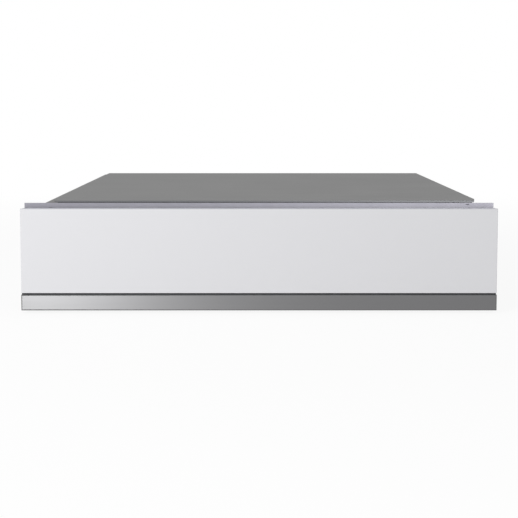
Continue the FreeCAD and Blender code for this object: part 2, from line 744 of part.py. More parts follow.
def make_middle_rail(hand, sign):
    """Middle member, which rolls between the other two."""
    body = new_body(f"{hand}_middle_rail")
    edge = d.inner_ball_offset + d.ball_radius + d.rail_lip / 2
    channel(body, rail_run, sign, d.middle_web_offset, d.middle_web_offset + d.rail_sheet, edge,
            middle_outside, middle_inside)
    races(body, "outer_races", rail_run, sign, d.outer_ball_offset, d.outer_ball_level)
    races(body, "inner_races", rail_run, sign, d.inner_ball_offset, inner_ball_level)
    return body


def make_drawer_rail(hand, sign):
    """Inner member, riveted to the drawer side."""
    body = new_body(f"{hand}_drawer_rail")
    edge = d.inner_ball_offset - d.ball_radius - d.race_clearance * 3
    channel(body, rail_run, sign, d.rail_space, drawer_web_offset, edge, drawer_outside,
            drawer_inside)
    races(body, "races", rail_run, sign, d.inner_ball_offset, inner_ball_level)
    holes = grid(rail_rivet_stations, [d.rail_level])
    span = handed(sign, drawer_half, drawer_half + d.rail_sheet)
    rods(body, "holes", "x", span, holes, rivet_hole, cut=True)
    return body


def make_rail_rivets(hand, sign):
    """Rivets that hold the inner member on the drawer side, closed inside the drawer."""
    seat = sign * (drawer_half + d.rail_sheet)
    length = d.rail_sheet + d.drawer_sheet + d.rivet_head_height
    return group(f"{hand}_rail_rivets", [
        rivet(f"{hand}_rail_rivet_{n}", "x", (seat, y, d.rail_level), -sign, length)
        for n, y in enumerate(rail_rivet_stations)
    ])


def make_cage(hand, sign, kind, offset, ball_offset, ball_level, start, length):
    """Folded strip that spaces the balls of one race pair, and the balls in it."""
    body = new_body(f"{hand}_{kind}_cage")
    run = (rail_front + start, rail_front + start + length)
    reach = d.cage_sheet / 2
    hole_radius = d.ball_radius + d.cage_play
    channel(body, run, sign, offset, offset + d.cage_sheet, ball_offset + hole_radius + reach,
            ball_level + reach, ball_level - reach)
    stations = spread(run[0] + d.ball_margin, run[1] - d.ball_margin, BALLS_PER_ROW)
    across = sign * (inner_half - ball_offset)
    through = (d.rail_level - ball_level - reach, d.rail_level + ball_level + reach)
    rods(body, "ball_holes", "z", through, [(across, y) for y in stations], hole_radius, cut=True)
    balls = []
    for n, y in enumerate(stations):
        for side in (-1, 1):
            ball = doc.addObject("Part::Sphere", f"{hand}_{kind}_ball_{n}_{side + 1}")
            ball.setExpression("Radius", d.ball_radius.text)
            ball.setExpression("Placement.Base.x", across.text)
            ball.setExpression("Placement.Base.y", y.text)
            ball.setExpression("Placement.Base.z", (d.rail_level + side * ball_level).text)
            balls.append(ball)
    return [body, group(f"{hand}_{kind}_balls", balls)]


def make_drawer_base():
    """Flat floor of the drawer between its sides."""
    body = new_body("drawer_base")
    run = (front_rear, drawer_rear - d.drawer_sheet)
    block(body, "floor", (-drawer_clear, drawer_clear), run, (d.drawer_bottom, drawer_floor))
    return body


def make_drawer_side(hand, sign):
    """Side with a foot flange under the floor, an outward rim and tabs front and back."""
    body = new_body(f"drawer_{hand}_side")
    run = (front_rear, drawer_rear - d.drawer_sheet)
    sheet_low = d.drawer_bottom - d.drawer_sheet
    panel = handed(sign, drawer_clear, drawer_half)
    block(body, "panel", panel, run, (sheet_low, drawer_rim_level))
    foot = handed(sign, drawer_half - d.drawer_foot, drawer_half)
    block(body, "foot", foot, run, (sheet_low, d.drawer_bottom))
    rim = handed(sign, drawer_clear, drawer_half + d.drawer_rim)
    block(body, "rim", rim, run, (drawer_rim_level - d.drawer_sheet, drawer_rim_level))
    tab = handed(sign, drawer_clear - d.drawer_tab, drawer_clear)
    tab_top = drawer_rim_level - 2 * d.drawer_sheet
    front_tab = (front_rear, front_rear + d.drawer_sheet)
    block(body, "front_tab", tab, front_tab, (drawer_floor, tab_top))
    front_holes = [(x, z) for x, z in front_screws if x.value * sign > 0]
    rods(body, "front_holes", "y", front_tab, front_holes, screw_hole, cut=True)
    rail_holes = grid(rail_rivet_stations, [d.rail_level])
    rods(body, "rail_holes", "x", panel, rail_holes, rivet_hole, cut=True)
    bends(body, "bends", d.drawer_bend, {"x": sign * drawer_clear, "z": drawer_rim_level},
          {"x": sign * drawer_half, "z": sheet_low})
    return body


def make_drawer_back():
    """Back of the drawer, over the ends of the sides and the floor."""
    body = new_body("drawer_back")
    run = (drawer_rear - d.drawer_sheet, drawer_rear)
    low = d.drawer_bottom - d.drawer_sheet
    high = drawer_rim_level - d.drawer_back_drop
    block(body, "panel", (-drawer_half, drawer_half), run, (low, high))
    fold_run = (run[0] - d.drawer_tab, run[1])
    block(body, "top_fold", (-drawer_clear, drawer_clear), fold_run, (high - d.drawer_sheet, high))
    for hand, sign in hands:
        fold = handed(sign, drawer_clear - d.drawer_sheet, drawer_clear)
        block(body, f"{hand}_fold", fold, fold_run, (drawer_floor, high))
    rods(body, "strike_holes", "y", run, strike_screws, screw_hole, cut=True)
    bends(body, "bend", d.drawer_bend, {"y": drawer_rear, "z": high})
    return body


def make_anti_slip_mat():
    """Loose mat on the floor of the drawer."""
    body = new_body("anti_slip_mat")
    half = drawer_clear - d.mat_margin
    run = (front_rear + 2 * d.mat_margin, drawer_rear - d.drawer_sheet - d.mat_margin)
    block(body, "mat", (-half, half), run, (drawer_floor, drawer_floor + d.mat_thickness))
    return body


def make_inner_front():
    """Plate that closes the carrier and carries the drawer box."""
    body = new_body("inner_front")
    run = (front_rear - d.carrier_sheet, front_rear)
    block(body, "plate", (-carrier_half, carrier_half), run, (carrier_bottom, carrier_top))
    rods(body, "holes", "y", run, front_screws, screw_hole, cut=True)
    return body


def make_front_carrier():
    """Shallow tray behind the glass, open to the rear."""
    body = new_body("front_carrier")
    run = (carrier_front, front_rear - d.carrier_sheet)
    block(body, "tray", (-carrier_half, carrier_half), run, (carrier_bottom, carrier_top))
    inside = carrier_half - d.carrier_sheet
    hollow_run = (carrier_front + d.carrier_sheet, run[1])
    hollow_z = (carrier_bottom + d.carrier_sheet, carrier_top - d.carrier_sheet)
    block(body, "hollow", (-inside, inside), hollow_run, hollow_z, cut=True)
    return body


def make_front_glass():
    """Plain glass front with ground edges."""
    body = new_body("front_glass")
    pane_z = (glass_bottom, front_top)
    block(body, "pane", (-glass_half, glass_half), (front_face, tape_front), pane_z)
    broken_edges(body, "ground_edges", d.glass_edge, lies_in_front)
    return body


def make_bonding_strips():
    """Four strips of tape that hold the glass on the carrier."""
    body = new_body("bonding_strips")
    inset = 2 * d.carrier_drop + d.tape_thickness
    half = carrier_half - inset
    low, high = glass_bottom + inset, front_top - inset
    run = (tape_front, carrier_front)
    block(body, "frame", (-half, half), run, (low, high))
    inside = half - d.tape_width
    block(body, "window", (-inside, inside), run, (low + d.tape_width, high - d.tape_width),
          cut=True)
    return body


def make_trim_profile():
    """Drawn metal strip along the lower edge: front wall, sole, top wall and closed ends."""
    body = new_body("trim_profile")
    half = glass_half + d.trim_overhang
    wall = d.trim_wall
    sole_rear = front_rear - d.carrier_sheet
    section = [
        (front_face, d.front_bottom), (sole_rear, d.front_bottom),
        (sole_rear, d.front_bottom + wall), (front_face + wall, d.front_bottom + wall),
        (front_face + wall, trim_top - wall), (carrier_front, trim_top - wall),
        (carrier_front, trim_top), (front_face, trim_top),
    ]
    prism(body, "section", "x", (-half, half), section)
    for hand, sign in hands:
        end = handed(sign, half - d.trim_chamfer, half)
        block(body, f"{hand}_end", end, (front_face, carrier_front), (d.front_bottom, trim_top))
    broken_edges(body, "broken_edges", d.trim_chamfer, lies_in_front)
    return body


def make_trim_seal():
    """Dark strip in the joint between the metal strip and the glass."""
    body = new_body("trim_seal")
    half = glass_half - d.carrier_drop
    run = (front_face + d.groove_recess, carrier_front)
    block(body, "strip", (-half, half), run, (trim_top, glass_bottom))
    return body


def make_trim_clips():
    """Clips that hold the metal strip on the carrier."""
    depth = carrier_front - front_face - d.trim_wall
    clips = []
    for n, column in enumerate(mirrored(glass_half - d.clip_margin, TRIM_CLIPS)):
        clip = doc.addObject("Part::Box", f"trim_clip_{n}")
        clip.setExpression("Length", d.clip_width.text)
        clip.setExpression("Width", depth.text)
        clip.setExpression("Height", (d.trim_height - 2 * d.trim_wall).text)
        clip.setExpression("Placement.Base.x", (column - d.clip_width / 2).text)
        clip.setExpression("Placement.Base.y", (front_face + d.trim_wall).text)
        clip.setExpression("Placement.Base.z", (d.front_bottom + d.trim_wall).text)
        clips.append(clip)
    return group("trim_clips", clips)


def make_front_screws():
    """Screws from inside the drawer through the tabs into the carrier."""
    seat = front_rear + d.drawer_sheet
    return group("front_screws", [
        screw(f"front_screw_{n}", "y", (x, seat, z), -1, d.screw_length)
        for n, (x, z) in enumerate(front_screws)
    ])


def make_latch_housing():
    """Moulded housing on the base pan with a bore for the plunger."""
    body = new_body("latch_housing")
    half = d.collar_radius + d.plunger_play + d.latch_wall
    foot = d.latch_foot_width / 2
    low = d.casing_sheet
    foot_top = low + d.latch_foot_height
    top = d.latch_level + half
    section = [
        (-foot, low), (foot, low), (foot, foot_top), (half, foot_top),
        (half, top), (-half, top), (-half, foot_top), (-foot, foot_top),
    ]
    prism(body, "section", "y", (latch_front, latch_rear), section)
    axis = [(0, d.latch_level)]
    rods(body, "nose_bore", "y", (latch_front, latch_rear), axis,
         d.plunger_radius + d.plunger_play, cut=True)
    rods(body, "collar_bore", "y", (latch_front + d.latch_nose, latch_rear), axis,
         d.collar_radius + d.plunger_play, cut=True)
    rods(body, "screw_holes", "z", (low, foot_top), latch_screws, screw_hole, cut=True)
    for n, start in enumerate((latch_front, latch_rear - d.gusset_thickness)):
        for hand, sign in hands:
            gusset = [(sign * half, foot_top), (sign * foot, foot_top), (sign * half, top)]
            prism(body, f"{hand}_gusset_{n}", "y", (start, start + d.gusset_thickness), gusset)
    return body


def make_latch_screws():
    """Screws through the housing foot into the base pan."""
    seat = d.casing_sheet + d.latch_foot_height
    return group("latch_screws", [
        screw(f"latch_screw_{n}", "z", (x, y, seat), -1, seat)
        for n, (x, y) in enumerate(latch_screws)
    ])


def make_latch_cap():
    """Cap that closes the housing at the rear, with a pin for the spring."""
    body = new_body("latch_end_cap")
    half = d.collar_radius + d.plunger_play + d.latch_wall
    bottom = d.latch_level - half
    block(body, "plate", (-half, half), (latch_rear, latch_rear + d.cap_thickness),
          (bottom, d.latch_level + half))
    pin_radius = d.spring_radius - d.spring_wire - d.plunger_play * 3
    rods(body, "pin", "y", (latch_rear - d.collar_length, latch_rear), [(0, d.latch_level)],
         pin_radius)
    return body


plunger_front = drawer_rear + d.strike_thickness + d.latch_gap
plunger_rear = latch_rear - d.plunger_room
spring_front = plunger_front + 2 * d.magnet_length


def make_latch_plunger():
    """Plunger rod with a guide collar, a seat for the magnet and a bore for the spring."""
    body = new_body("latch_plunger")
    axis = [(0, d.latch_level)]
    rods(body, "rod", "y", (plunger_front, plunger_rear), axis, d.plunger_radius)
    rods(body, "collar", "y", (plunger_rear - d.collar_length, plunger_rear), axis, d.collar_radius)
    rods(body, "magnet_seat", "y", (plunger_front, plunger_front + d.magnet_length), axis,
         d.magnet_radius + d.plunger_play, cut=True)
    rods(body, "spring_bore", "y", (spring_front, plunger_rear), axis,
         d.spring_radius + 2 * d.plunger_play, cut=True)
    return body


def make_latch_magnet():
    """Round magnet in the tip of the plunger."""
    start = (0, plunger_front, d.latch_level)
    magnet = cylinder("latch_magnet", "y", start, d.magnet_length, d.magnet_radius)
    magnet.Label = "latch_magnet"
    return magnet


def make_latch_spring():
    """Compression spring between plunger and end cap, as its outer sleeve."""
    body = new_body("latch_spring")
    axis = [(0, d.latch_level)]
    run = (spring_front, latch_rear)
    rods(body, "outside", "y", run, axis, d.spring_radius)
    rods(body, "inside", "y", run, axis, d.spring_radius - d.spring_wire, cut=True)
    return body


def make_strike_plate():
    """Steel plate on the drawer back that the magnet holds."""
    body = new_body("strike_plate")
    half = d.strike_width / 2
    run = (drawer_rear, drawer_rear + d.strike_thickness)
    low, high = d.latch_level - d.strike_height / 2, d.latch_level + d.strike_height / 2
    block(body, "plate", (-half, half), run, (low, high))
    rods(body, "holes", "y", run, strike_screws, screw_hole, cut=True)
    return body


def make_strike_screws():
    """Screws from inside the drawer that hold the strike plate."""
    seat = drawer_rear - d.drawer_sheet
    length = d.drawer_sheet + d.strike_thickness
    return group("strike_screws", [
        screw(f"strike_screw_{n}", "y", (x, seat, z), 1, length)
        for n, (x, z) in enumerate(strike_screws)
    ])


def make_rails(hand, sign):
    """All pieces of one telescopic rail."""
    pieces = [
        make_cabinet_rail(hand, sign), make_rail_buffer(hand, sign), make_rail_screws(hand, sign),
        make_middle_rail(hand, sign), make_drawer_rail(hand, sign), make_rail_rivets(hand, sign),
    ]
    pieces += make_cage(hand, sign, "outer", d.outer_cage_offset, d.outer_ball_offset,
                        d.outer_ball_level, d.outer_cage_start, d.outer_cage_length)
    pieces += make_cage(hand, sign, "inner", d.inner_cage_offset, d.inner_ball_offset,
                        inner_ball_level, d.inner_cage_start, d.inner_cage_length)
    return pieces


def make_parts():
    """Every sub-part of the drawer."""
    parts = [make_base_pan(), make_back_panel(), make_lid(), make_front_crossbar()]
    parts += [make_mounting_flange(), make_flange_rivets()]
    parts += make_casing_screws()
    for hand, sign in hands:
        parts.append(make_wall(hand, sign))
        parts.append(make_drawer_side(hand, sign))
        parts += make_rails(hand, sign)
    parts += [make_drawer_base(), make_drawer_back(), make_anti_slip_mat(), make_inner_front()]
    parts += [make_front_carrier(), make_front_glass(), make_bonding_strips()]
    parts += [make_trim_profile(), make_trim_seal(), make_trim_clips(), make_front_screws()]
    parts += [make_latch_housing(), make_latch_cap(), make_latch_screws(), make_latch_plunger()]
    parts += [make_latch_magnet(), make_latch_spring(), make_strike_plate(), make_strike_screws()]
    return parts


def check_document(parts):
    """Stops before anything is written if a feature failed or a shape isn't sound."""
    doc.recompute()
    failed = [f"{o.Name} {o.State}" for o in doc.Objects if {"Invalid", "Error"} & set(o.State)]
    unsound = [p.Label for p in parts if p.Shape.isNull() or not p.Shape.isValid()]
    if failed or unsound:
        raise RuntimeError(f"failed {failed}, unsound {unsound}")


def write_parts(parts):
    """One file for each sub-part."""
    os.makedirs("parts", exist_ok=True)
    for part in parts:
        part.Shape.exportStep(f"parts/{part.Label}.step")


parts = make_parts()
check_document(parts)
write_parts(parts)
print(len(parts), "sub-parts,", sum(len(p.Shape.Solids) for p in parts), "solids")
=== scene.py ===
"""Looks of a built-in storage drawer, laid out as an add-on and run as a script."""
import json
import math

import bmesh
import bpy
from bpy.props import FloatProperty, FloatVectorProperty, IntProperty, PointerProperty
from mathutils import Color, Matrix, Vector

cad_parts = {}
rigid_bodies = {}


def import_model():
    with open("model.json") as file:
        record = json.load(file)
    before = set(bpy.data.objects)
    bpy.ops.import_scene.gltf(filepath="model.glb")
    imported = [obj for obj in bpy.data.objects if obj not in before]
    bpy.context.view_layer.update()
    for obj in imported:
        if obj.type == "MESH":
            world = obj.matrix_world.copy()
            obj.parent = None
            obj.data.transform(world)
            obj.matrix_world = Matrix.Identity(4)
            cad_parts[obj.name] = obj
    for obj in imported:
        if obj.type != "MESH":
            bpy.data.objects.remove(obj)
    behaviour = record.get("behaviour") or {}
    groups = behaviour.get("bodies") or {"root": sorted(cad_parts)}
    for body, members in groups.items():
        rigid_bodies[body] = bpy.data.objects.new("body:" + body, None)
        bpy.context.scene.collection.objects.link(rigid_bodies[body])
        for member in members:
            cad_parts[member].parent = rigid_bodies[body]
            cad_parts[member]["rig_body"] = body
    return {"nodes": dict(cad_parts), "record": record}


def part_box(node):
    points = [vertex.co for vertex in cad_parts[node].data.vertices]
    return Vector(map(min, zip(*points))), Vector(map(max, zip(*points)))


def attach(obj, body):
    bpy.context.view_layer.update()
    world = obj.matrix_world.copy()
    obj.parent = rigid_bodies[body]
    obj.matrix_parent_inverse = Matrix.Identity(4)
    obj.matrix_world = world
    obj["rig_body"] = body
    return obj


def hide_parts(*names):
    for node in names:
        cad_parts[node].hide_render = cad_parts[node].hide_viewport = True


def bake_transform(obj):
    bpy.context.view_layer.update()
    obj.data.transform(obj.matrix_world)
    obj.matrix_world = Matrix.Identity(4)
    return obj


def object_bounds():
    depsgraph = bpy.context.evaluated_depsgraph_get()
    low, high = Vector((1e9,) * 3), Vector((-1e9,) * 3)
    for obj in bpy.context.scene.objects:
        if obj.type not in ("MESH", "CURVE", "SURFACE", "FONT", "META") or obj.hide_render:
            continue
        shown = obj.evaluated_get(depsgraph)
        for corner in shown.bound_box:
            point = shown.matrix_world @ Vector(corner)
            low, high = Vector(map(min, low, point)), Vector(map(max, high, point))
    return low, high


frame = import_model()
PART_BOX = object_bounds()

bl_info = {
    "name": "Built-in Storage Drawer",
    "version": (1, 0, 0),
    "blender": (4, 5, 0),
    "location": "View3D > Sidebar > Drawer",
    "description": "Dresses a built-in drawer: glass front, steel casing, rails and touch latch",
    "category": "Add Mesh",
}

MILLIMETRE = 0.001
SAME_PLACE = 1e-6
SMOOTH_ANGLE = math.radians(35)
FLAT_ANGLE = math.radians(1)

LEFT_AND_RIGHT = ("left", "right")


def shade(red, green, blue):
    """Linear colour of a shade given as it shows on screen, from 0 to 255."""
    shown = Color((red / 255, green / 255, blue / 255))
    return tuple(shown.from_srgb_to_scene_linear())


def number_property(name, description, value, **kind):
    """A number, with limits and a unit or subtype where they fit."""
    return FloatProperty(name=name, description=description, default=value, **kind)


def length_property(name, description, millimetres):
    """A length that is given in millimetres and kept in metres."""
    return number_property(name, description, millimetres * MILLIMETRE, min=0, unit="LENGTH",
                           precision=4)


def colour_property(name, description, colour):
    """A colour of one finish."""
    return FloatVectorProperty(name=name, description=description, default=colour, size=3,
                               min=0, max=1, subtype="COLOR")


class DrawerSizes(bpy.types.PropertyGroup):
    """Sizes of the fine detail."""

    glass_edge: length_property("Glass edge", "Rounding of the ground edges of the glass", 0.25)
    strip_edge: length_property("Strip edge", "Rounding of the drawn metal strip", 0.35)
    lid_edge: length_property("Lid edge", "Rounding of the lid's bends", 0.3)
    sheet_edge: length_property("Sheet edge", "Rounding of cut sheet edges", 0.2)
    housing_edge: length_property("Housing edge", "Rounding of the latch housing", 0.8)
    plunger_edge: length_property("Plunger edge", "Rounding of the plunger and the end cap", 0.4)
    recess_depth: length_property("Recess depth", "Depth of the drive in a screw head", 1.0)
    thread_pitch: length_property("Thread pitch", "Pitch of the screw threads", 0.8)
    thread_depth: length_property("Thread depth", "Depth of the screw threads", 0.2)
    ball_pitch: length_property("Ball pitch", "Distance between the balls of a row", 14)
    rib_pitch: length_property("Rib pitch", "Distance between the ribs of the mat", 4)
    rib_height: length_property("Rib height", "Ribs above the mat", 0.6)
    spring_wire: length_property("Spring wire", "Wire of the latch spring", 0.8)
    spring_turns: IntProperty(name="Spring turns", description="Turns of the latch spring",
                              default=11, min=3)


class DrawerColours(bpy.types.PropertyGroup):
    """Colours of the finishes."""

    glass: colour_property("Glass", "White lacquer behind the glass", shade(225, 225, 228))
    strip: colour_property("Strip", "Brushed metal strip", shade(119, 119, 120))
    lid: colour_property("Lid", "Brushed steel of the lid, walls, back and base",
                         shade(137, 137, 137))
    # Darker copy of the lid's colour for the front hem: painted shade
    painted_shade_hem: colour_property("Hem", "Front hem of the lid", shade(110, 111, 113))
    casing: colour_property("Casing front", "Coated steel of the flange, crossbar and inner front",
                            shade(152, 151, 159))
    carrier: colour_property("Carrier", "Lacquered tray behind the glass", shade(206, 206, 213))
    drawer: colour_property("Drawer box", "Lacquered steel of the drawer box", shade(122, 123, 127))
    rail: colour_property("Rails", "Zinc-plated rails and ball cages", shade(186, 188, 192))
    ball: colour_property("Balls", "Hardened balls and the latch spring", shade(205, 206, 208))
    fastener: colour_property("Fasteners", "Plated screws and rivets", shade(170, 171, 174))
    rubber: colour_property("Rubber", "Mat, seal and rail buffers", shade(58, 59, 62))
    tape: colour_property("Tape", "Foam bonding tape", shade(48, 48, 50))
    plastic: colour_property("Plastic", "Moulded latch housing and clips", shade(66, 67, 70))
    plunger: colour_property("Plunger", "Moulded plunger", shade(214, 214, 210))
    magnet: colour_property("Magnet", "Nickel-plated magnet and strike plate", shade(196, 193, 184))


class StudioSettings(bpy.types.PropertyGroup):
    """Camera, lamps and background."""

    lens: number_property("Lens", "Focal length", 74.049, min=1, unit="CAMERA")
    shift_x: number_property("Shift X", "Sideways shift of the lens", 0.0019)
    shift_y: number_property("Shift Y", "Upward shift of the lens", -0.14)
    pitch: number_property("Pitch", "Camera below the horizon", math.radians(4.5),
                           subtype="ANGLE")
    distance: length_property("Distance", "Glass face to the camera", 1318.93)
    height: length_property("Height", "Underside of the drawer to the camera", 263.341)
    sideways: number_property("Sideways", "Middle of the drawer to the camera",
                              -1.22 * MILLIMETRE, unit="LENGTH", precision=5)
    ambient: number_property("Ambient", "Strength of the even light", 0.575, min=0, max=1,
                             subtype="FACTOR")
    key_power: number_property("Key lamp", "Power of the large lamp on the left", 25.5, min=0,
                               unit="POWER")
    strip_power: number_property("Strip lamp", "Power of the low lamp on the left", 8.9, min=0,
                                 unit="POWER")
    rim_power: number_property("Rim lamp", "Power of the low lamp on the right", 5.5, min=0,
                               unit="POWER")


class Number:
    """A number in a shader; Python's own signs on it add the maths nodes."""

    def __init__(self, shading, socket):
        self.shading = shading
        self.socket = socket

    def worked(self, operation, first, second):
        """What a maths node makes of two numbers."""
        node = self.shading.add("Math", {"operation": operation}, {0: first, 1: second})
        return Number(self.shading, node.outputs[0])

    def __add__(self, other):
        return self.worked("ADD", self, other)

    def __radd__(self, other):
        return self.worked("ADD", other, self)

    def __sub__(self, other):
        return self.worked("SUBTRACT", self, other)

    def __rsub__(self, other):
        return self.worked("SUBTRACT", other, self)

    def __mul__(self, other):
        return self.worked("MULTIPLY", self, other)

    def __rmul__(self, other):
        return self.worked("MULTIPLY", other, self)

    def __truediv__(self, other):
        return self.worked("DIVIDE", self, other)

    def __rtruediv__(self, other):
        return self.worked("DIVIDE", other, self)

    def highest(self, other):
        """The higher of two numbers."""
        return self.worked("MAXIMUM", self, other)


class Shading:
    """Shader nodes of a world or a material, put together in code."""

    def __init__(self, owner):
        owner.use_nodes = True
        self.tree = owner.node_tree
        self.tree.nodes.clear()

    def add(self, kind, settings=None, inputs=None):
        """One shader node: its settings first, then the values or links of its sockets."""
        node = self.tree.nodes.new(f"ShaderNode{kind}")
        for name, value in (settings or {}).items():
            if name == "stops":
                self.set_stops(node.color_ramp, value)
            else:
                setattr(node, name, value)
        for name, value in (inputs or {}).items():
            value = value.socket if isinstance(value, Number) else value
            if isinstance(value, bpy.types.NodeSocket):
                self.tree.links.new(value, node.inputs[name])
            else:
                node.inputs[name].default_value = value
        return node

    def set_stops(self, ramp, stops):
        """Places of a ramp's stops and their grey levels."""
        for number, (place, level) in enumerate(stops):
            there = number < len(ramp.elements)
            stop = ramp.elements[number] if there else ramp.elements.new(place)
            stop.position = place
            stop.color = (level, level, level, 1)

    def seen_directly(self):
        """1 for rays of the camera, of reflections and through glass, and 0 for other rays."""
        path = self.add("LightPath").outputs
        rays = ("Is Camera Ray", "Is Glossy Ray", "Is Transmission Ray")
        camera, glossy, through = (Number(self, path[ray]) for ray in rays)
        return camera.highest(glossy).highest(through)


class Surface(Shading):
    """A material whose shader is put together in code."""

    def __init__(self, name):
        self.material = bpy.data.materials.new(name)
        super().__init__(self.material)
        self.coordinates = self.add("TexCoord").outputs["Object"]

    def noise(self, grain, detail=2, roughness=0.5):
        """Noise from 0 to 1 whose grains measure the three given lengths."""
        stretched = self.add("Mapping", {}, {
            "Vector": self.coordinates, "Scale": [1 / size for size in grain],
        })
        node = self.add("TexNoise", {}, {
            "Vector": stretched.outputs[0], "Scale": 1, "Detail": detail, "Roughness": roughness,
        })
        return Number(self, node.outputs["Fac"])

    def cells(self, size):
        """Random level of each cell of a crystal pattern."""
        node = self.add("TexVoronoi", {}, {"Vector": self.coordinates, "Scale": 1 / size})
        parts = self.add("SeparateColor", {}, {0: node.outputs["Color"]})
        return Number(self, parts.outputs[0])

    def ramp(self, number, stops):
        """A number put through a ramp."""
        node = self.add("ValToRGB", {"stops": stops}, {0: number})
        return Number(self, node.outputs["Color"])

    def between(self, low, high, share):
        """Colour between two colours, which go into sockets 6 and 7 of a Mix node."""
        node = self.add("Mix", {"data_type": "RGBA"}, {
            0: share,
            6: low if isinstance(low, bpy.types.NodeSocket) else (*low, 1),
            7: high if isinstance(high, bpy.types.NodeSocket) else (*high, 1),
        })
        return node.outputs[2]

    def toned(self, colour, spread, share):
        """A colour that wanders by a spread either way."""
        dark = [channel * (1 - spread) for channel in colour]
        light = [min(1, channel * (1 + spread)) for channel in colour]
        return self.between(dark, light, share)

    def relief(self, height, depth):
        """Fine relief of a given depth in metres."""
        node = self.add("Bump", {}, {"Height": height, "Distance": depth, "Strength": 1})
        return node.outputs[0]

    def finish(self, sockets):
        """Ends the material in one principled shader."""
        return self.end_in(self.add("BsdfPrincipled", {}, sockets))

    def end_in(self, shader):
        """Ends the material in a given shader."""
        self.add("OutputMaterial", {}, {"Surface": shader.outputs[0]})
        return self.material


def wandering(level, share, spread):
    """A level that wanders by a spread from end to end as a share runs from 0 to 1."""
    return level + (share - 0.5) * spread


SCRATCH_LENGTH, SCRATCH_WIDTH = 0.06, 0.0005
STREAK_LENGTH, STREAK_WIDTH = 0.36, 0.025
BRUSHED_CLOUD = 0.08
SCRATCH_SHARE, STREAK_SHARE, CLOUD_SHARE = 0.4, 0.4, 0.2
BRUSHED_SPREAD = 0.12


def brushed(name, colour, along, metallic, roughness, contrast, depth, levels=None):
    """Metal brushed along one axis, with fine scratches, broad streaks and slow clouds."""
    surface = Surface(name)
    fine = [SCRATCH_LENGTH if axis == along else SCRATCH_WIDTH for axis in "XYZ"]
    broad = [STREAK_LENGTH if axis == along else STREAK_WIDTH for axis in "XYZ"]
    scratches = surface.noise(fine, detail=3, roughness=0.6)
    streaks = surface.noise(broad, detail=6, roughness=0.75)
    clouds = surface.noise([BRUSHED_CLOUD] * 3, detail=1)
    tone = scratches * SCRATCH_SHARE + streaks * STREAK_SHARE + clouds * CLOUD_SHARE
    sockets = {
        "Base Color": surface.toned(colour, contrast, tone),
        "Metallic": metallic,
        "Roughness": wandering(roughness, tone, BRUSHED_SPREAD),
        "Normal": surface.relief(scratches, depth),
    }
    sockets.update(levels or {})
    return surface.finish(sockets)


COATED_CLOUD = 0.12
COATED_SPREAD = 0.1


def coated(name, colour, roughness, grain, depth, contrast=0.05, levels=None):
    """Lacquer or moulded plastic with a fine orange-peel relief and faint cloudiness."""
    surface = Surface(name)
    peel = surface.noise([grain] * 3)
    clouds = surface.noise([COATED_CLOUD] * 3)
    sockets = {
        "Base Color": surface.toned(colour, contrast, clouds),
        "Roughness": wandering(roughness, peel, COATED_SPREAD),
        "Normal": surface.relief(peel, depth),
    }
    sockets.update(levels or {})
    return surface.finish(sockets)


PATCH_SIZE, GRAIN_SIZE = 0.05, 0.0012
CRYSTAL_SHARE, PATCH_SHARE = 0.4, 0.6
PLATED_CONTRAST = 0.06
PLATED_SPREAD = 0.15
GRAIN_DEPTH = 2e-5


def plated(name, colour, roughness, crystal):
    """Zinc coat with faint crystals and a few dull patches."""
    surface = Surface(name)
    crystals = surface.cells(crystal)
    patches = surface.noise([PATCH_SIZE] * 3, detail=3)
    tone = crystals * CRYSTAL_SHARE + patches * PATCH_SHARE
    grain = surface.noise([GRAIN_SIZE] * 3)
    return surface.finish({
        "Base Color": surface.toned(colour, PLATED_CONTRAST, tone),
        "Metallic": 0.9,
        "Roughness": wandering(roughness, patches, PLATED_SPREAD),
        "Normal": surface.relief(grain, GRAIN_DEPTH),
    })


# Tint of the ground edges and top face: a little blue as real ground glass, and darker partly as
# painted shade
EDGE_TINT_AND_SHADE = (0.55, 0.56, 0.60)
EDGE_ROUGHNESS, PANE_ROUGHNESS = 0.3, 0.06

# How squarely the glass faces forward at the end of its ground edge and the start of its pane
EDGE_ENDS, PANE_STARTS = 0.55, 0.9

GLASS_CLOUD = 0.25
GLASS_CONTRAST = 0.006
SMEAR_SIZE = (0.004, 0.001, 0.004)
SMEAR_ROUGHNESS = 0.02


def white_glass(name, colour):
    """White lacquer seen through glass; the ground edges are duller and a little blue, and partly
    darkened with painted shade.
    """
    surface = Surface(name)
    cloud = surface.noise([GLASS_CLOUD] * 3)
    smear = surface.noise(SMEAR_SIZE)
    normal = surface.add("NewGeometry").outputs["Normal"]
    backward = Number(surface, surface.add("SeparateXYZ", {}, {0: normal}).outputs["Y"])
    face = surface.ramp(backward * -1, [(EDGE_ENDS, 0), (PANE_STARTS, 1)])
    pane = surface.toned(colour, GLASS_CONTRAST, cloud)
    # Edge colour: real ground-edge tint, darkened further with painted shade
    edge = [channel * tint for channel, tint in zip(colour, EDGE_TINT_AND_SHADE)]
    gloss = EDGE_ROUGHNESS - face * (EDGE_ROUGHNESS - PANE_ROUGHNESS)
    return surface.finish({
        "Base Color": surface.between(edge, pane, face),
        "Roughness": gloss + smear * SMEAR_ROUGHNESS,
        "Coat Weight": face * 0.6,
        "Coat Roughness": 0.04,
    })


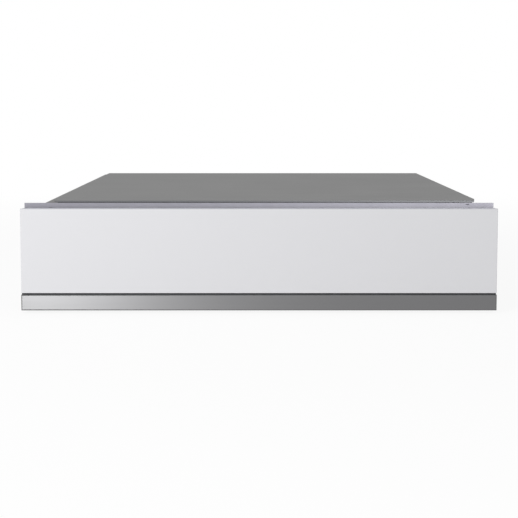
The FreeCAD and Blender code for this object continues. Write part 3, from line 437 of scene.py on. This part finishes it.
class Finishes:
    """Every finish, made once and found by name."""

    made = {}

    @classmethod
    def make(cls, colours):
        """Makes all finishes from the colours."""
        cls.made = {
            "glass": white_glass("white_glass", colours.glass),
            **cls.brushed_metals(colours),
            "casing": plated("coated_casing", colours.casing, roughness=0.5, crystal=0.006),
            "fastener": plated("plated_fastener", colours.fastener, roughness=0.35, crystal=0.0015),
            "carrier": coated("lacquered_carrier", colours.carrier, roughness=0.4, grain=0.0012,
                              depth=2e-5, contrast=0.03),
            "drawer": coated("lacquered_drawer", colours.drawer, roughness=0.45, grain=0.0012,
                             depth=3e-5),
            "ball": coated("polished_ball", colours.ball, roughness=0.12, grain=0.002, depth=2e-6,
                           contrast=0.03, levels={"Metallic": 1.0}),
            "rubber": coated("ribbed_rubber", colours.rubber, roughness=0.75, grain=0.0008,
                             depth=4e-5, contrast=0.12),
            "tape": coated("foam_tape", colours.tape, roughness=0.9, grain=0.0006, depth=1e-4,
                           contrast=0.1),
            "plastic": coated("moulded_plastic", colours.plastic, roughness=0.5, grain=0.0005,
                              depth=4e-5),
            "plunger": coated("pale_plastic", colours.plunger, roughness=0.4, grain=0.0005,
                              depth=2e-5),
            "magnet": coated("nickel_plate", colours.magnet, roughness=0.25, grain=0.001,
                             depth=1e-5, levels={"Metallic": 1.0}),
        }

    @staticmethod
    def brushed_metals(colours):
        """The brushed metals of the strip, the lid, the casing walls and the rails."""
        sheen = {"Anisotropic": 0.55, "Anisotropic Rotation": 0.25}
        dull = {"Specular IOR Level": 0.2, "Specular Tint": (0.4, 0.4, 0.4, 1)}
        return {
            "strip": brushed("brushed_strip", colours.strip, "X", metallic=1.0, roughness=0.43,
                             contrast=0.03, depth=5e-6, levels=sheen),
            "strip_edge": brushed("brushed_strip_edge", colours.strip, "X", metallic=1.0,
                                  roughness=0.7, contrast=0.03, depth=5e-6),
            "lid": brushed("brushed_lid", colours.lid, "X", metallic=0.7, roughness=0.5,
                           contrast=0.32, depth=2e-5, levels=dull),
            "wall": brushed("brushed_wall", colours.lid, "Y", metallic=0.7, roughness=0.5,
                            contrast=0.32, depth=2e-5, levels=dull),
            # The hem is the lid's brushed metal made darker: painted shade
            "painted_shade_hem": brushed("brushed_painted_shade_hem", colours.painted_shade_hem, "X", metallic=0.9, roughness=0.4,
                           contrast=0.05, depth=1e-5),
            "rail": brushed("plated_rail", colours.rail, "Y", metallic=0.9, roughness=0.32,
                            contrast=0.07, depth=2e-5),
        }


FINISH_OF_SLOT = {
    "casing_steel": "casing",
    "lid_steel": "lid",
    "fastener_steel": "fastener",
    "rail_steel": "rail",
    "ball_steel": "ball",
    "drawer_steel": "drawer",
    "white_glass": "glass",
    "trim_metal": "strip",
    "dark_rubber": "rubber",
    "tape": "tape",
    "latch_plastic": "plastic",
    "latch_steel": "magnet",
}


def body_of(node):
    """Body that carries a node."""
    return frame["nodes"][node]["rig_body"]


def slot_of(node):
    """Material slot that the record gives a node."""
    parts = frame["record"]["subparts"]
    return next(part["material_slot"] for part in parts if part["node"] == node)


def finished_piece(name, shape, node, finish=None, smooth_angle=SMOOTH_ANGLE, riding=True):
    """Object from a bmesh that stands for a node and, as a rule, rides on its body."""
    bmesh.ops.recalc_face_normals(shape, faces=shape.faces)
    for face in shape.faces:
        face.smooth = True
    for edge in shape.edges:
        edge.smooth = len(edge.link_faces) == 2 and edge.calc_face_angle() < smooth_angle
    mesh = bpy.data.meshes.new(name)
    shape.to_mesh(mesh)
    shape.free()
    piece = bpy.data.objects.new(name, mesh)
    bpy.context.scene.collection.objects.link(piece)
    slot = slot_of(node)
    mesh.materials.append(Finishes.made[finish or FINISH_OF_SLOT[slot]])
    if riding:
        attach(piece, body_of(node))
    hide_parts(node)
    return piece


def node_shape(node):
    """The node's solid as a bmesh with joined vertices and whole flat faces."""
    shape = bmesh.new()
    shape.from_mesh(frame["nodes"][node].data)
    bmesh.ops.remove_doubles(shape, verts=shape.verts, dist=SAME_PLACE)
    bmesh.ops.dissolve_limit(shape, angle_limit=FLAT_ANGLE, verts=shape.verts, edges=shape.edges)
    return shape


def softened(node, name, radius, segments=2, finish=None):
    """The node's shape with its sharp edges rounded and its flat faces shaded flat."""
    shape = node_shape(node)
    sharp = [
        edge for edge in shape.edges
        if len(edge.link_faces) == 2 and edge.calc_face_angle() > SMOOTH_ANGLE
    ]
    bmesh.ops.bevel(shape, geom=sharp, offset=radius, offset_type="OFFSET", segments=segments,
                    profile=0.5, affect="EDGES", clamp_overlap=True, material=-1)
    piece = finished_piece(name, shape, node, finish)
    level = piece.modifiers.new("level_faces", "WEIGHTED_NORMAL")
    level.keep_sharp = True
    return piece


def add_finish(piece, finish, wanted):
    """Gives the wanted faces of a piece a second finish."""
    piece.data.materials.append(Finishes.made[finish])
    for face in piece.data.polygons:
        if wanted(face):
            face.material_index = 1


def solids_of(node):
    """Vertex places of each separate solid in a node."""
    shape = node_shape(node)
    waiting = set(shape.verts)
    solids = []
    while waiting:
        group, front = [], [waiting.pop()]
        while front:
            vertex = front.pop()
            group.append(vertex.co.copy())
            near = {edge.other_vert(vertex) for edge in vertex.link_edges} & waiting
            waiting -= near
            front.extend(near)
        solids.append(group)
    shape.free()
    return solids


def box_of(points):
    """Lowest and highest corner of some points."""
    low = Vector(min(p[axis] for p in points) for axis in range(3))
    high = Vector(max(p[axis] for p in points) for axis in range(3))
    return low, high


# As shares of a fastener's head radius
NEAR_RIM = 0.9
LEAST_SHANK = 0.2


class Fastener:
    """Axis, top and sizes of a screw or rivet, read from its solid."""

    def __init__(self, points):
        low, high = box_of(points)
        size = high - low
        centre = (low + high) / 2
        self.axis = min(range(3), key=lambda axis: abs(size[axis - 1] - size[axis - 2]))
        self.head_radius = size[self.axis - 1] / 2
        self.length = size[self.axis]
        reaches = [self.reach(point, centre) for point in points]
        rim = [
            point[self.axis] for point, reach in zip(points, reaches)
            if reach > NEAR_RIM * self.head_radius
        ]
        self.shank_radius = min(r for r in reaches if r > LEAST_SHANK * self.head_radius)
        self.head_height = max(rim) - min(rim)
        head_high = sum(rim) / len(rim) > centre[self.axis]
        self.outward = 1 if head_high else -1
        self.top = centre.copy()
        self.top[self.axis] = high[self.axis] if head_high else low[self.axis]

    def reach(self, point, centre):
        """Distance of a point from the fastener's axis."""
        aside = point - centre
        aside[self.axis] = 0
        return aside.length

    def placing(self):
        """Matrix that puts a fastener made pointing up, with its top at zero, in its place."""
        out = Vector((0, 0, 0))
        out[self.axis] = self.outward
        turn = Vector((0, 0, 1)).rotation_difference(out).to_matrix().to_4x4()
        return Matrix.Translation(self.top) @ turn


def lathe(shape, outline, segments):
    """Solid turned about Z from an outline of radius and height pairs."""
    points = [shape.verts.new((radius, 0, height)) for radius, height in outline]
    edges = [shape.edges.new(pair) for pair in zip(points, points[1:])]
    bmesh.ops.spin(shape, geom=points + edges, cent=(0, 0, 0), axis=(0, 0, 1),
                   angle=math.tau, steps=segments, use_merge=True)
    bmesh.ops.remove_doubles(shape, verts=shape.verts, dist=SAME_PLACE)


def arc(centre, radius, start, end, steps):
    """Points along an arc of a turned outline, between two angles in degrees."""
    angles = [math.radians(start + (end - start) * n / steps) for n in range(steps + 1)]
    return [
        (centre[0] + radius * math.cos(a), centre[1] + radius * math.sin(a)) for a in angles
    ]


FASTENER_SEGMENTS = 24
CORNER_STEPS = 4
DOME_STEPS = 5
LOBES = 6

# As shares of a screw head's height
DEEPEST_RECESS = 0.7
CORNER_HEIGHT = 0.6

# As shares of a screw head's radius
CORNER_WIDTH = 0.3
RECESS_RADIUS = 0.48
RECESS_BORDER = 0.08

# As shares of the recess's radius
LOBE_MIDDLE = 0.9
LOBE_DEPTH = 0.12


def screw_shape(made, sizes):
    """Pan-head screw with a six-lobed recess and a thread, its top at zero."""
    shape = bmesh.new()
    rim, core = made.head_radius, made.shank_radius - sizes.thread_depth
    corner = min(made.head_height * CORNER_HEIGHT, rim * CORNER_WIDTH)
    outline = [(rim * RECESS_RADIUS, 0)]
    outline += arc((rim - corner, -corner), corner, 90, 0, CORNER_STEPS)
    outline += [(rim, -made.head_height), (made.shank_radius, -made.head_height)]
    height = -made.head_height
    while height - sizes.thread_pitch > -made.length:
        outline += [(core, height - sizes.thread_pitch / 2),
                    (made.shank_radius, height - sizes.thread_pitch)]
        height -= sizes.thread_pitch
    outline += [(core / 2, -made.length), (0, -made.length)]
    lathe(shape, outline, FASTENER_SEGMENTS)
    depth = min(sizes.recess_depth, made.head_height * DEEPEST_RECESS)
    sink_recess(shape, rim * RECESS_BORDER, depth)
    return shape


def sink_recess(shape, border, depth):
    """Closes the open top of a screw and sinks a six-lobed recess into it."""
    opening = [edge for edge in shape.edges if len(edge.link_faces) == 1]
    floor = bmesh.ops.contextual_create(shape, geom=opening)["faces"]
    bmesh.ops.inset_region(shape, faces=floor, thickness=border, use_even_offset=True)
    for vertex in {vertex for face in floor for vertex in face.verts}:
        turn = math.atan2(vertex.co.y, vertex.co.x)
        vertex.co.xy *= LOBE_MIDDLE + LOBE_DEPTH * math.cos(LOBES * turn)
    sunk = bmesh.ops.extrude_discrete_faces(shape, faces=floor)["faces"]
    moved = {vertex for face in sunk for vertex in face.verts}
    bmesh.ops.translate(shape, verts=list(moved), vec=(0, 0, -depth))


def rivet_shape(made):
    """Domed rivet with its top at zero."""
    shape = bmesh.new()
    rim, height = made.head_radius, made.head_height
    dome = (rim ** 2 + height ** 2) / (2 * height)
    reach = math.degrees(math.asin(rim / dome))
    outline = arc((0, -dome), dome, 90, 90 - reach, DOME_STEPS)
    outline += [(made.shank_radius, -height), (made.shank_radius, -made.length), (0, -made.length)]
    lathe(shape, outline, FASTENER_SEGMENTS)
    return shape


def fasteners(node, name, make):
    """Detailed fasteners in the places of a node's solids, as one piece."""
    whole = bmesh.new()
    for points in solids_of(node):
        made = Fastener(points)
        single = make(made)
        bmesh.ops.transform(single, matrix=made.placing(), verts=single.verts)
        mesh = bpy.data.meshes.new("single")
        single.to_mesh(mesh)
        single.free()
        whole.from_mesh(mesh)
        bpy.data.meshes.remove(mesh)
    finished_piece(name, whole, node)


def finish_node(node):
    """Gives a node its finish, for the ones that stay in view as they are."""
    thing = frame["nodes"][node]
    material = Finishes.made[FINISH_OF_SLOT[slot_of(node)]]
    if not thing.material_slots:
        thing.data.materials.append(material)
    for slot in thing.material_slots:
        slot.material = material


class DRAWER_OT_finishes(bpy.types.Operator):
    """Make the finishes and give them to the CAD pieces"""

    bl_idname = "drawer.finishes"
    bl_label = "Finishes"

    def execute(self, context):
        Finishes.make(context.scene.drawer_colours)
        for node in frame["nodes"]:
            finish_node(node)
        return {"FINISHED"}


# Y of a face's normal, which is -1 where it faces straight forward
TURNED_FORWARD = -0.4
FLAT_FORWARD = -0.95


class DRAWER_OT_lid(bpy.types.Operator):
    """Lid with rounded bends and a front hem darkened with painted shade"""

    bl_idname = "drawer.lid"
    bl_label = "Lid"

    def execute(self, context):
        sizes = context.scene.drawer_sizes
        lid = softened("lid", "lid_sheet", sizes.lid_edge, segments=3)
        front = PART_BOX[0].y / 2
        # Faces of the lid that turn forward at the front get the darker hem finish: painted shade
        add_finish(lid, "painted_shade_hem",
                   lambda face: face.normal.y < TURNED_FORWARD and face.center.y < front)
        return {"FINISHED"}


class DRAWER_OT_casing(bpy.types.Operator):
    """Casing sheets with rounded cut edges"""

    bl_idname = "drawer.casing"
    bl_label = "Casing"

    def execute(self, context):
        sizes = context.scene.drawer_sizes
        softened("mounting_flange", "mounting_flange_sheet", sizes.sheet_edge)
        softened("front_crossbar", "front_crossbar_sheet", sizes.sheet_edge)
        for node in ("back_panel", "base_pan"):
            softened(node, f"{node}_sheet", sizes.sheet_edge, finish="lid")
        for hand in LEFT_AND_RIGHT:
            softened(f"{hand}_wall", f"{hand}_wall_sheet", sizes.sheet_edge, finish="wall")
        return {"FINISHED"}


class DRAWER_OT_front(bpy.types.Operator):
    """Glass front, metal strip, carrier and inner front"""

    bl_idname = "drawer.front"
    bl_label = "Front"

    def execute(self, context):
        sizes = context.scene.drawer_sizes
        softened("front_glass", "glass_pane", sizes.glass_edge, segments=3)
        strip = softened("trim_profile", "metal_strip", sizes.strip_edge, segments=3)
        add_finish(strip, "strip_edge", lambda face: face.normal.y > FLAT_FORWARD)
        softened("front_carrier", "front_carrier_tray", sizes.sheet_edge, finish="carrier")
        softened("inner_front", "inner_front_plate", sizes.sheet_edge, finish="casing")
        return {"FINISHED"}


class DRAWER_OT_box(bpy.types.Operator):
    """Drawer box with rounded cut edges"""

    bl_idname = "drawer.box"
    bl_label = "Drawer box"

    def execute(self, context):
        sizes = context.scene.drawer_sizes
        for hand in LEFT_AND_RIGHT:
            softened(f"drawer_{hand}_side", f"drawer_{hand}_side_sheet", sizes.sheet_edge)
        softened("drawer_back", "drawer_back_sheet", sizes.sheet_edge)
        softened("drawer_base", "drawer_base_sheet", sizes.sheet_edge)
        return {"FINISHED"}


RIB_STEPS = 4

# As a share of the ribs' pitch
RIB_RADIUS = 0.25


class DRAWER_OT_mat(bpy.types.Operator):
    """Ribbed anti-slip mat"""

    bl_idname = "drawer.mat"
    bl_label = "Mat"

    def execute(self, context):
        sizes = context.scene.drawer_sizes
        low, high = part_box("anti_slip_mat")
        ribs = int((high.y - low.y) / sizes.rib_pitch)
        pitch = (high.y - low.y) / ribs
        half = pitch * RIB_RADIUS
        valley = high.z - sizes.rib_height
        outline = [(low.y, low.z), (low.y, valley)]
        for number in range(ribs):
            middle = low.y + pitch * (number + 0.5)
            for step in range(RIB_STEPS + 1):
                turn = math.pi * (1 - step / RIB_STEPS)
                outline.append((middle + half * math.cos(turn),
                                valley + sizes.rib_height * math.sin(turn)))
        outline += [(high.y, valley), (high.y, low.z)]
        shape = bmesh.new()
        end = shape.faces.new([shape.verts.new((low.x, y, z)) for y, z in outline])
        swept = bmesh.ops.extrude_face_region(shape, geom=[end])["geom"]
        moved = [v for v in swept if isinstance(v, bmesh.types.BMVert)]
        bmesh.ops.translate(shape, verts=moved, vec=(high.x - low.x, 0, 0))
        finished_piece("ribbed_mat", shape, "anti_slip_mat")
        return {"FINISHED"}


BALL_DETAIL = 3
ROW_DIGITS = 4


class DRAWER_OT_rails(bpy.types.Operator):
    """Full rows of balls in the ball cages"""

    bl_idname = "drawer.rails"
    bl_label = "Rails"

    def execute(self, context):
        sizes = context.scene.drawer_sizes
        for hand in LEFT_AND_RIGHT:
            for kind in ("outer", "inner"):
                self.fill_rows(f"{hand}_{kind}_balls", sizes)
        return {"FINISHED"}

    def fill_rows(self, node, sizes):
        """Balls at an even pitch between the ones of the node."""
        boxes = [box_of(points) for points in solids_of(node)]
        centres = [(low + high) / 2 for low, high in boxes]
        radius = (boxes[0][1].z - boxes[0][0].z) / 2
        shape = bmesh.new()
        for level in sorted({round(centre.z, ROW_DIGITS) for centre in centres}):
            row = sorted(c.y for c in centres if abs(c.z - level) < radius)
            reach, spaces = row[-1] - row[0], len(row) - 1
            gaps = round(reach / spaces / sizes.ball_pitch) * spaces
            for number in range(gaps + 1):
                place = Matrix.Translation((centres[0].x, row[0] + reach * number / gaps, level))
                bmesh.ops.create_icosphere(shape, subdivisions=BALL_DETAIL, radius=radius,
                                           matrix=place)
        finished_piece(f"{node}_full", shape, node)


class DRAWER_OT_fasteners(bpy.types.Operator):
    """Screws with recesses and threads, and domed rivets"""

    bl_idname = "drawer.fasteners"
    bl_label = "Fasteners"

    def execute(self, context):
        sizes = context.scene.drawer_sizes
        screws = ["base_screws", "back_screws", "lid_screws", "front_screws", "latch_screws",
                  "strike_screws"]
        screws += [f"{hand}_rail_screws" for hand in LEFT_AND_RIGHT]
        for node in screws:
            fasteners(node, f"{node}_driven", lambda made: screw_shape(made, sizes))
        rivets = ["flange_rivets"] + [f"{hand}_rail_rivets" for hand in LEFT_AND_RIGHT]
        for node in rivets:
            fasteners(node, f"{node}_domed", rivet_shape)
        return {"FINISHED"}


COIL_SIDES = 8
COIL_STEPS = 20


class DRAWER_OT_latch(bpy.types.Operator):
    """Touch latch with rounded mouldings and a wound spring"""

    bl_idname = "drawer.latch"
    bl_label = "Touch latch"

    def execute(self, context):
        sizes = context.scene.drawer_sizes
        softened("latch_housing", "latch_housing_moulded", sizes.housing_edge)
        softened("latch_end_cap", "latch_end_cap_moulded", sizes.plunger_edge)
        softened("latch_plunger", "latch_plunger_moulded", sizes.plunger_edge, finish="plunger")
        softened("strike_plate", "strike_plate_sheet", sizes.sheet_edge)
        self.wind_spring(sizes)
        return {"FINISHED"}

    def wind_spring(self, sizes):
        """Coil between the plunger and the end cap."""
        low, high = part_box("latch_spring")
        wire = sizes.spring_wire / 2
        middle = (low + high) / 2
        shape = bmesh.new()
        start = Matrix.Translation((high.x - wire, low.y + wire, middle.z))
        steps = sizes.spring_turns * COIL_STEPS
        bmesh.ops.create_circle(shape, segments=COIL_SIDES, radius=wire, matrix=start)
        bmesh.ops.spin(shape, geom=shape.verts[:] + shape.edges[:], cent=middle, axis=(0, 1, 0),
                       dvec=(0, (high.y - low.y - 2 * wire) / steps, 0),
                       angle=math.tau * sizes.spring_turns, steps=steps, use_merge=False)
        ends = [edge for edge in shape.edges if len(edge.link_faces) == 1]
        bmesh.ops.holes_fill(shape, edges=ends, sides=COIL_SIDES)
        coil = finished_piece("latch_spring_coil", shape, "latch_spring", "ball",
                              smooth_angle=math.pi, riding=False)
        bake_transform(coil)


FLOOR_SIZE = 30
FLOOR_GAP = 0.1 * MILLIMETRE

# Distances from the middle of the floor, and the reach of the ramp between them
FADE_START, FADE_END = 0.6, 1.6
RAMP_END = 2

PAPER = (0.9, 0.9, 0.9)
PAPER_CONTRAST = 0.01
PAPER_CLOUD = 0.4
LEAST_GLOW = 0.9
WHITE = (1, 1, 1, 1)


class DRAWER_OT_stage(bpy.types.Operator):
    """Floor, lamps, white background and camera"""

    bl_idname = "drawer.stage"
    bl_label = "Stage"

    def execute(self, context):
        studio = context.scene.drawer_studio
        context.scene.view_settings.view_transform = "Standard"
        self.set_world(context.scene, studio)
        self.lay_floor(context.scene)
        self.hang_lamp("key_lamp", place=(-1.5, -1.6, 1.1), target=(0, -0.1, 0.08),
                       size=(1.2, 1.0), power=studio.key_power)
        self.hang_lamp("strip_lamp", place=(-0.54, -1.64, 0.1), target=(-0.25, -0.27, 0.015),
                       size=(0.12, 0.16), power=studio.strip_power, lit=["metal_strip"])
        self.hang_lamp("rim_lamp", place=(0.5, -1.6, 0.36), target=(0.2, -0.25, 0.137),
                       size=(0.3, 0.16), power=studio.rim_power,
                       lit=["lid_sheet", "mounting_flange_sheet"])
        self.set_camera(context.scene, studio)
        return {"FINISHED"}

    def set_world(self, scene, studio):
        """White for the camera and in reflections, and even light for everything else."""
        scene.world = bpy.data.worlds.new("studio")
        sky = Shading(scene.world)
        strength = sky.add("MapRange", {}, {
            "Value": sky.seen_directly(), "To Min": studio.ambient, "To Max": 1,
        })
        background = sky.add("Background", {}, {"Color": WHITE, "Strength": strength.outputs[0]})
        sky.add("OutputWorld", {}, {"Surface": background.outputs[0]})

    def lay_floor(self, scene):
        """Pale floor that keeps the shadow near the drawer and turns plain white further out."""
        shape = bmesh.new()
        bmesh.ops.create_grid(shape, x_segments=1, y_segments=1, size=FLOOR_SIZE)
        mesh = bpy.data.meshes.new("floor")
        shape.to_mesh(mesh)
        shape.free()
        mesh.materials.append(self.floor_paper())
        floor = bpy.data.objects.new("floor", mesh)
        floor.location.z = PART_BOX[0].z - FLOOR_GAP
        scene.collection.objects.link(floor)

    def floor_paper(self):
        """Pale paper for the light, and mostly a white glow for the camera and reflections."""
        surface = Surface("floor_paper")
        away = surface.add("VectorMath", {"operation": "LENGTH"}, {0: surface.coordinates})
        distance = Number(surface, away.outputs["Value"])
        fade = surface.ramp(distance / RAMP_END,
                            [(FADE_START / RAMP_END, 0), (FADE_END / RAMP_END, 1)])
        glow = LEAST_GLOW + fade * (1 - LEAST_GLOW)
        cloud = surface.noise([PAPER_CLOUD] * 3)
        paper = surface.add("BsdfDiffuse", {}, {
            "Color": surface.toned(PAPER, PAPER_CONTRAST, cloud),
        })
        light = surface.add("Emission", {}, {"Color": WHITE, "Strength": 1})
        return surface.end_in(surface.add("MixShader", {}, {
            0: surface.seen_directly() * glow, 1: paper.outputs[0], 2: light.outputs[0],
        }))

    def hang_lamp(self, name, place, target, size, power, lit=()):
        """Soft rectangular lamp that the camera doesn't see, on everything or on a few pieces."""
        lamp = bpy.data.lights.new(name, "AREA")
        lamp.shape = "RECTANGLE"
        lamp.size, lamp.size_y = size
        lamp.energy = power
        holder = bpy.data.objects.new(name, lamp)
        holder.location = place
        direction = Vector(target) - Vector(place)
        holder.rotation_euler = direction.to_track_quat("-Z", "Y").to_euler()
        holder.visible_camera = False
        bpy.context.scene.collection.objects.link(holder)
        if lit:
            group = bpy.data.collections.new(f"lit_by_{name}")
            for piece in lit:
                group.objects.link(bpy.data.objects[piece])
            holder.light_linking.receiver_collection = group

    def set_camera(self, scene, studio):
        """Camera a little above the drawer, in front of its middle."""
        camera = bpy.data.cameras.new("camera")
        camera.lens = studio.lens
        camera.shift_x = studio.shift_x
        camera.shift_y = studio.shift_y
        holder = bpy.data.objects.new("camera", camera)
        holder.location = (studio.sideways, PART_BOX[0].y - studio.distance, studio.height)
        holder.rotation_euler = (math.pi / 2 - studio.pitch, 0, 0)
        scene.collection.objects.link(holder)
        scene.camera = holder


OPERATORS = (
    DRAWER_OT_finishes, DRAWER_OT_casing, DRAWER_OT_lid, DRAWER_OT_front, DRAWER_OT_box,
    DRAWER_OT_mat, DRAWER_OT_rails, DRAWER_OT_fasteners, DRAWER_OT_latch, DRAWER_OT_stage,
)


class DRAWER_PT_sidebar(bpy.types.Panel):
    """Sidebar page that lists the steps"""

    bl_idname = "DRAWER_PT_sidebar"
    bl_label = "Storage drawer"
    bl_space_type = "VIEW_3D"
    bl_region_type = "UI"
    bl_category = "Drawer"

    def draw(self, context):
        for operator in OPERATORS:
            self.layout.operator(operator.bl_idname)


CLASSES = (DrawerSizes, DrawerColours, StudioSettings, *OPERATORS, DRAWER_PT_sidebar)


def register():
    for kind in CLASSES:
        bpy.utils.register_class(kind)
    bpy.types.Scene.drawer_sizes = PointerProperty(type=DrawerSizes)
    bpy.types.Scene.drawer_colours = PointerProperty(type=DrawerColours)
    bpy.types.Scene.drawer_studio = PointerProperty(type=StudioSettings)


def unregister():
    del bpy.types.Scene.drawer_studio
    del bpy.types.Scene.drawer_colours
    del bpy.types.Scene.drawer_sizes
    for kind in reversed(CLASSES):
        bpy.utils.unregister_class(kind)


def main():
    """Runs every step in order."""
    register()
    bpy.ops.drawer.finishes()
    bpy.ops.drawer.casing()
    bpy.ops.drawer.lid()
    bpy.ops.drawer.front()
    bpy.ops.drawer.box()
    bpy.ops.drawer.mat()
    bpy.ops.drawer.rails()
    bpy.ops.drawer.fasteners()
    bpy.ops.drawer.latch()
    bpy.ops.drawer.stage()


if __name__ == "__main__":
    main()
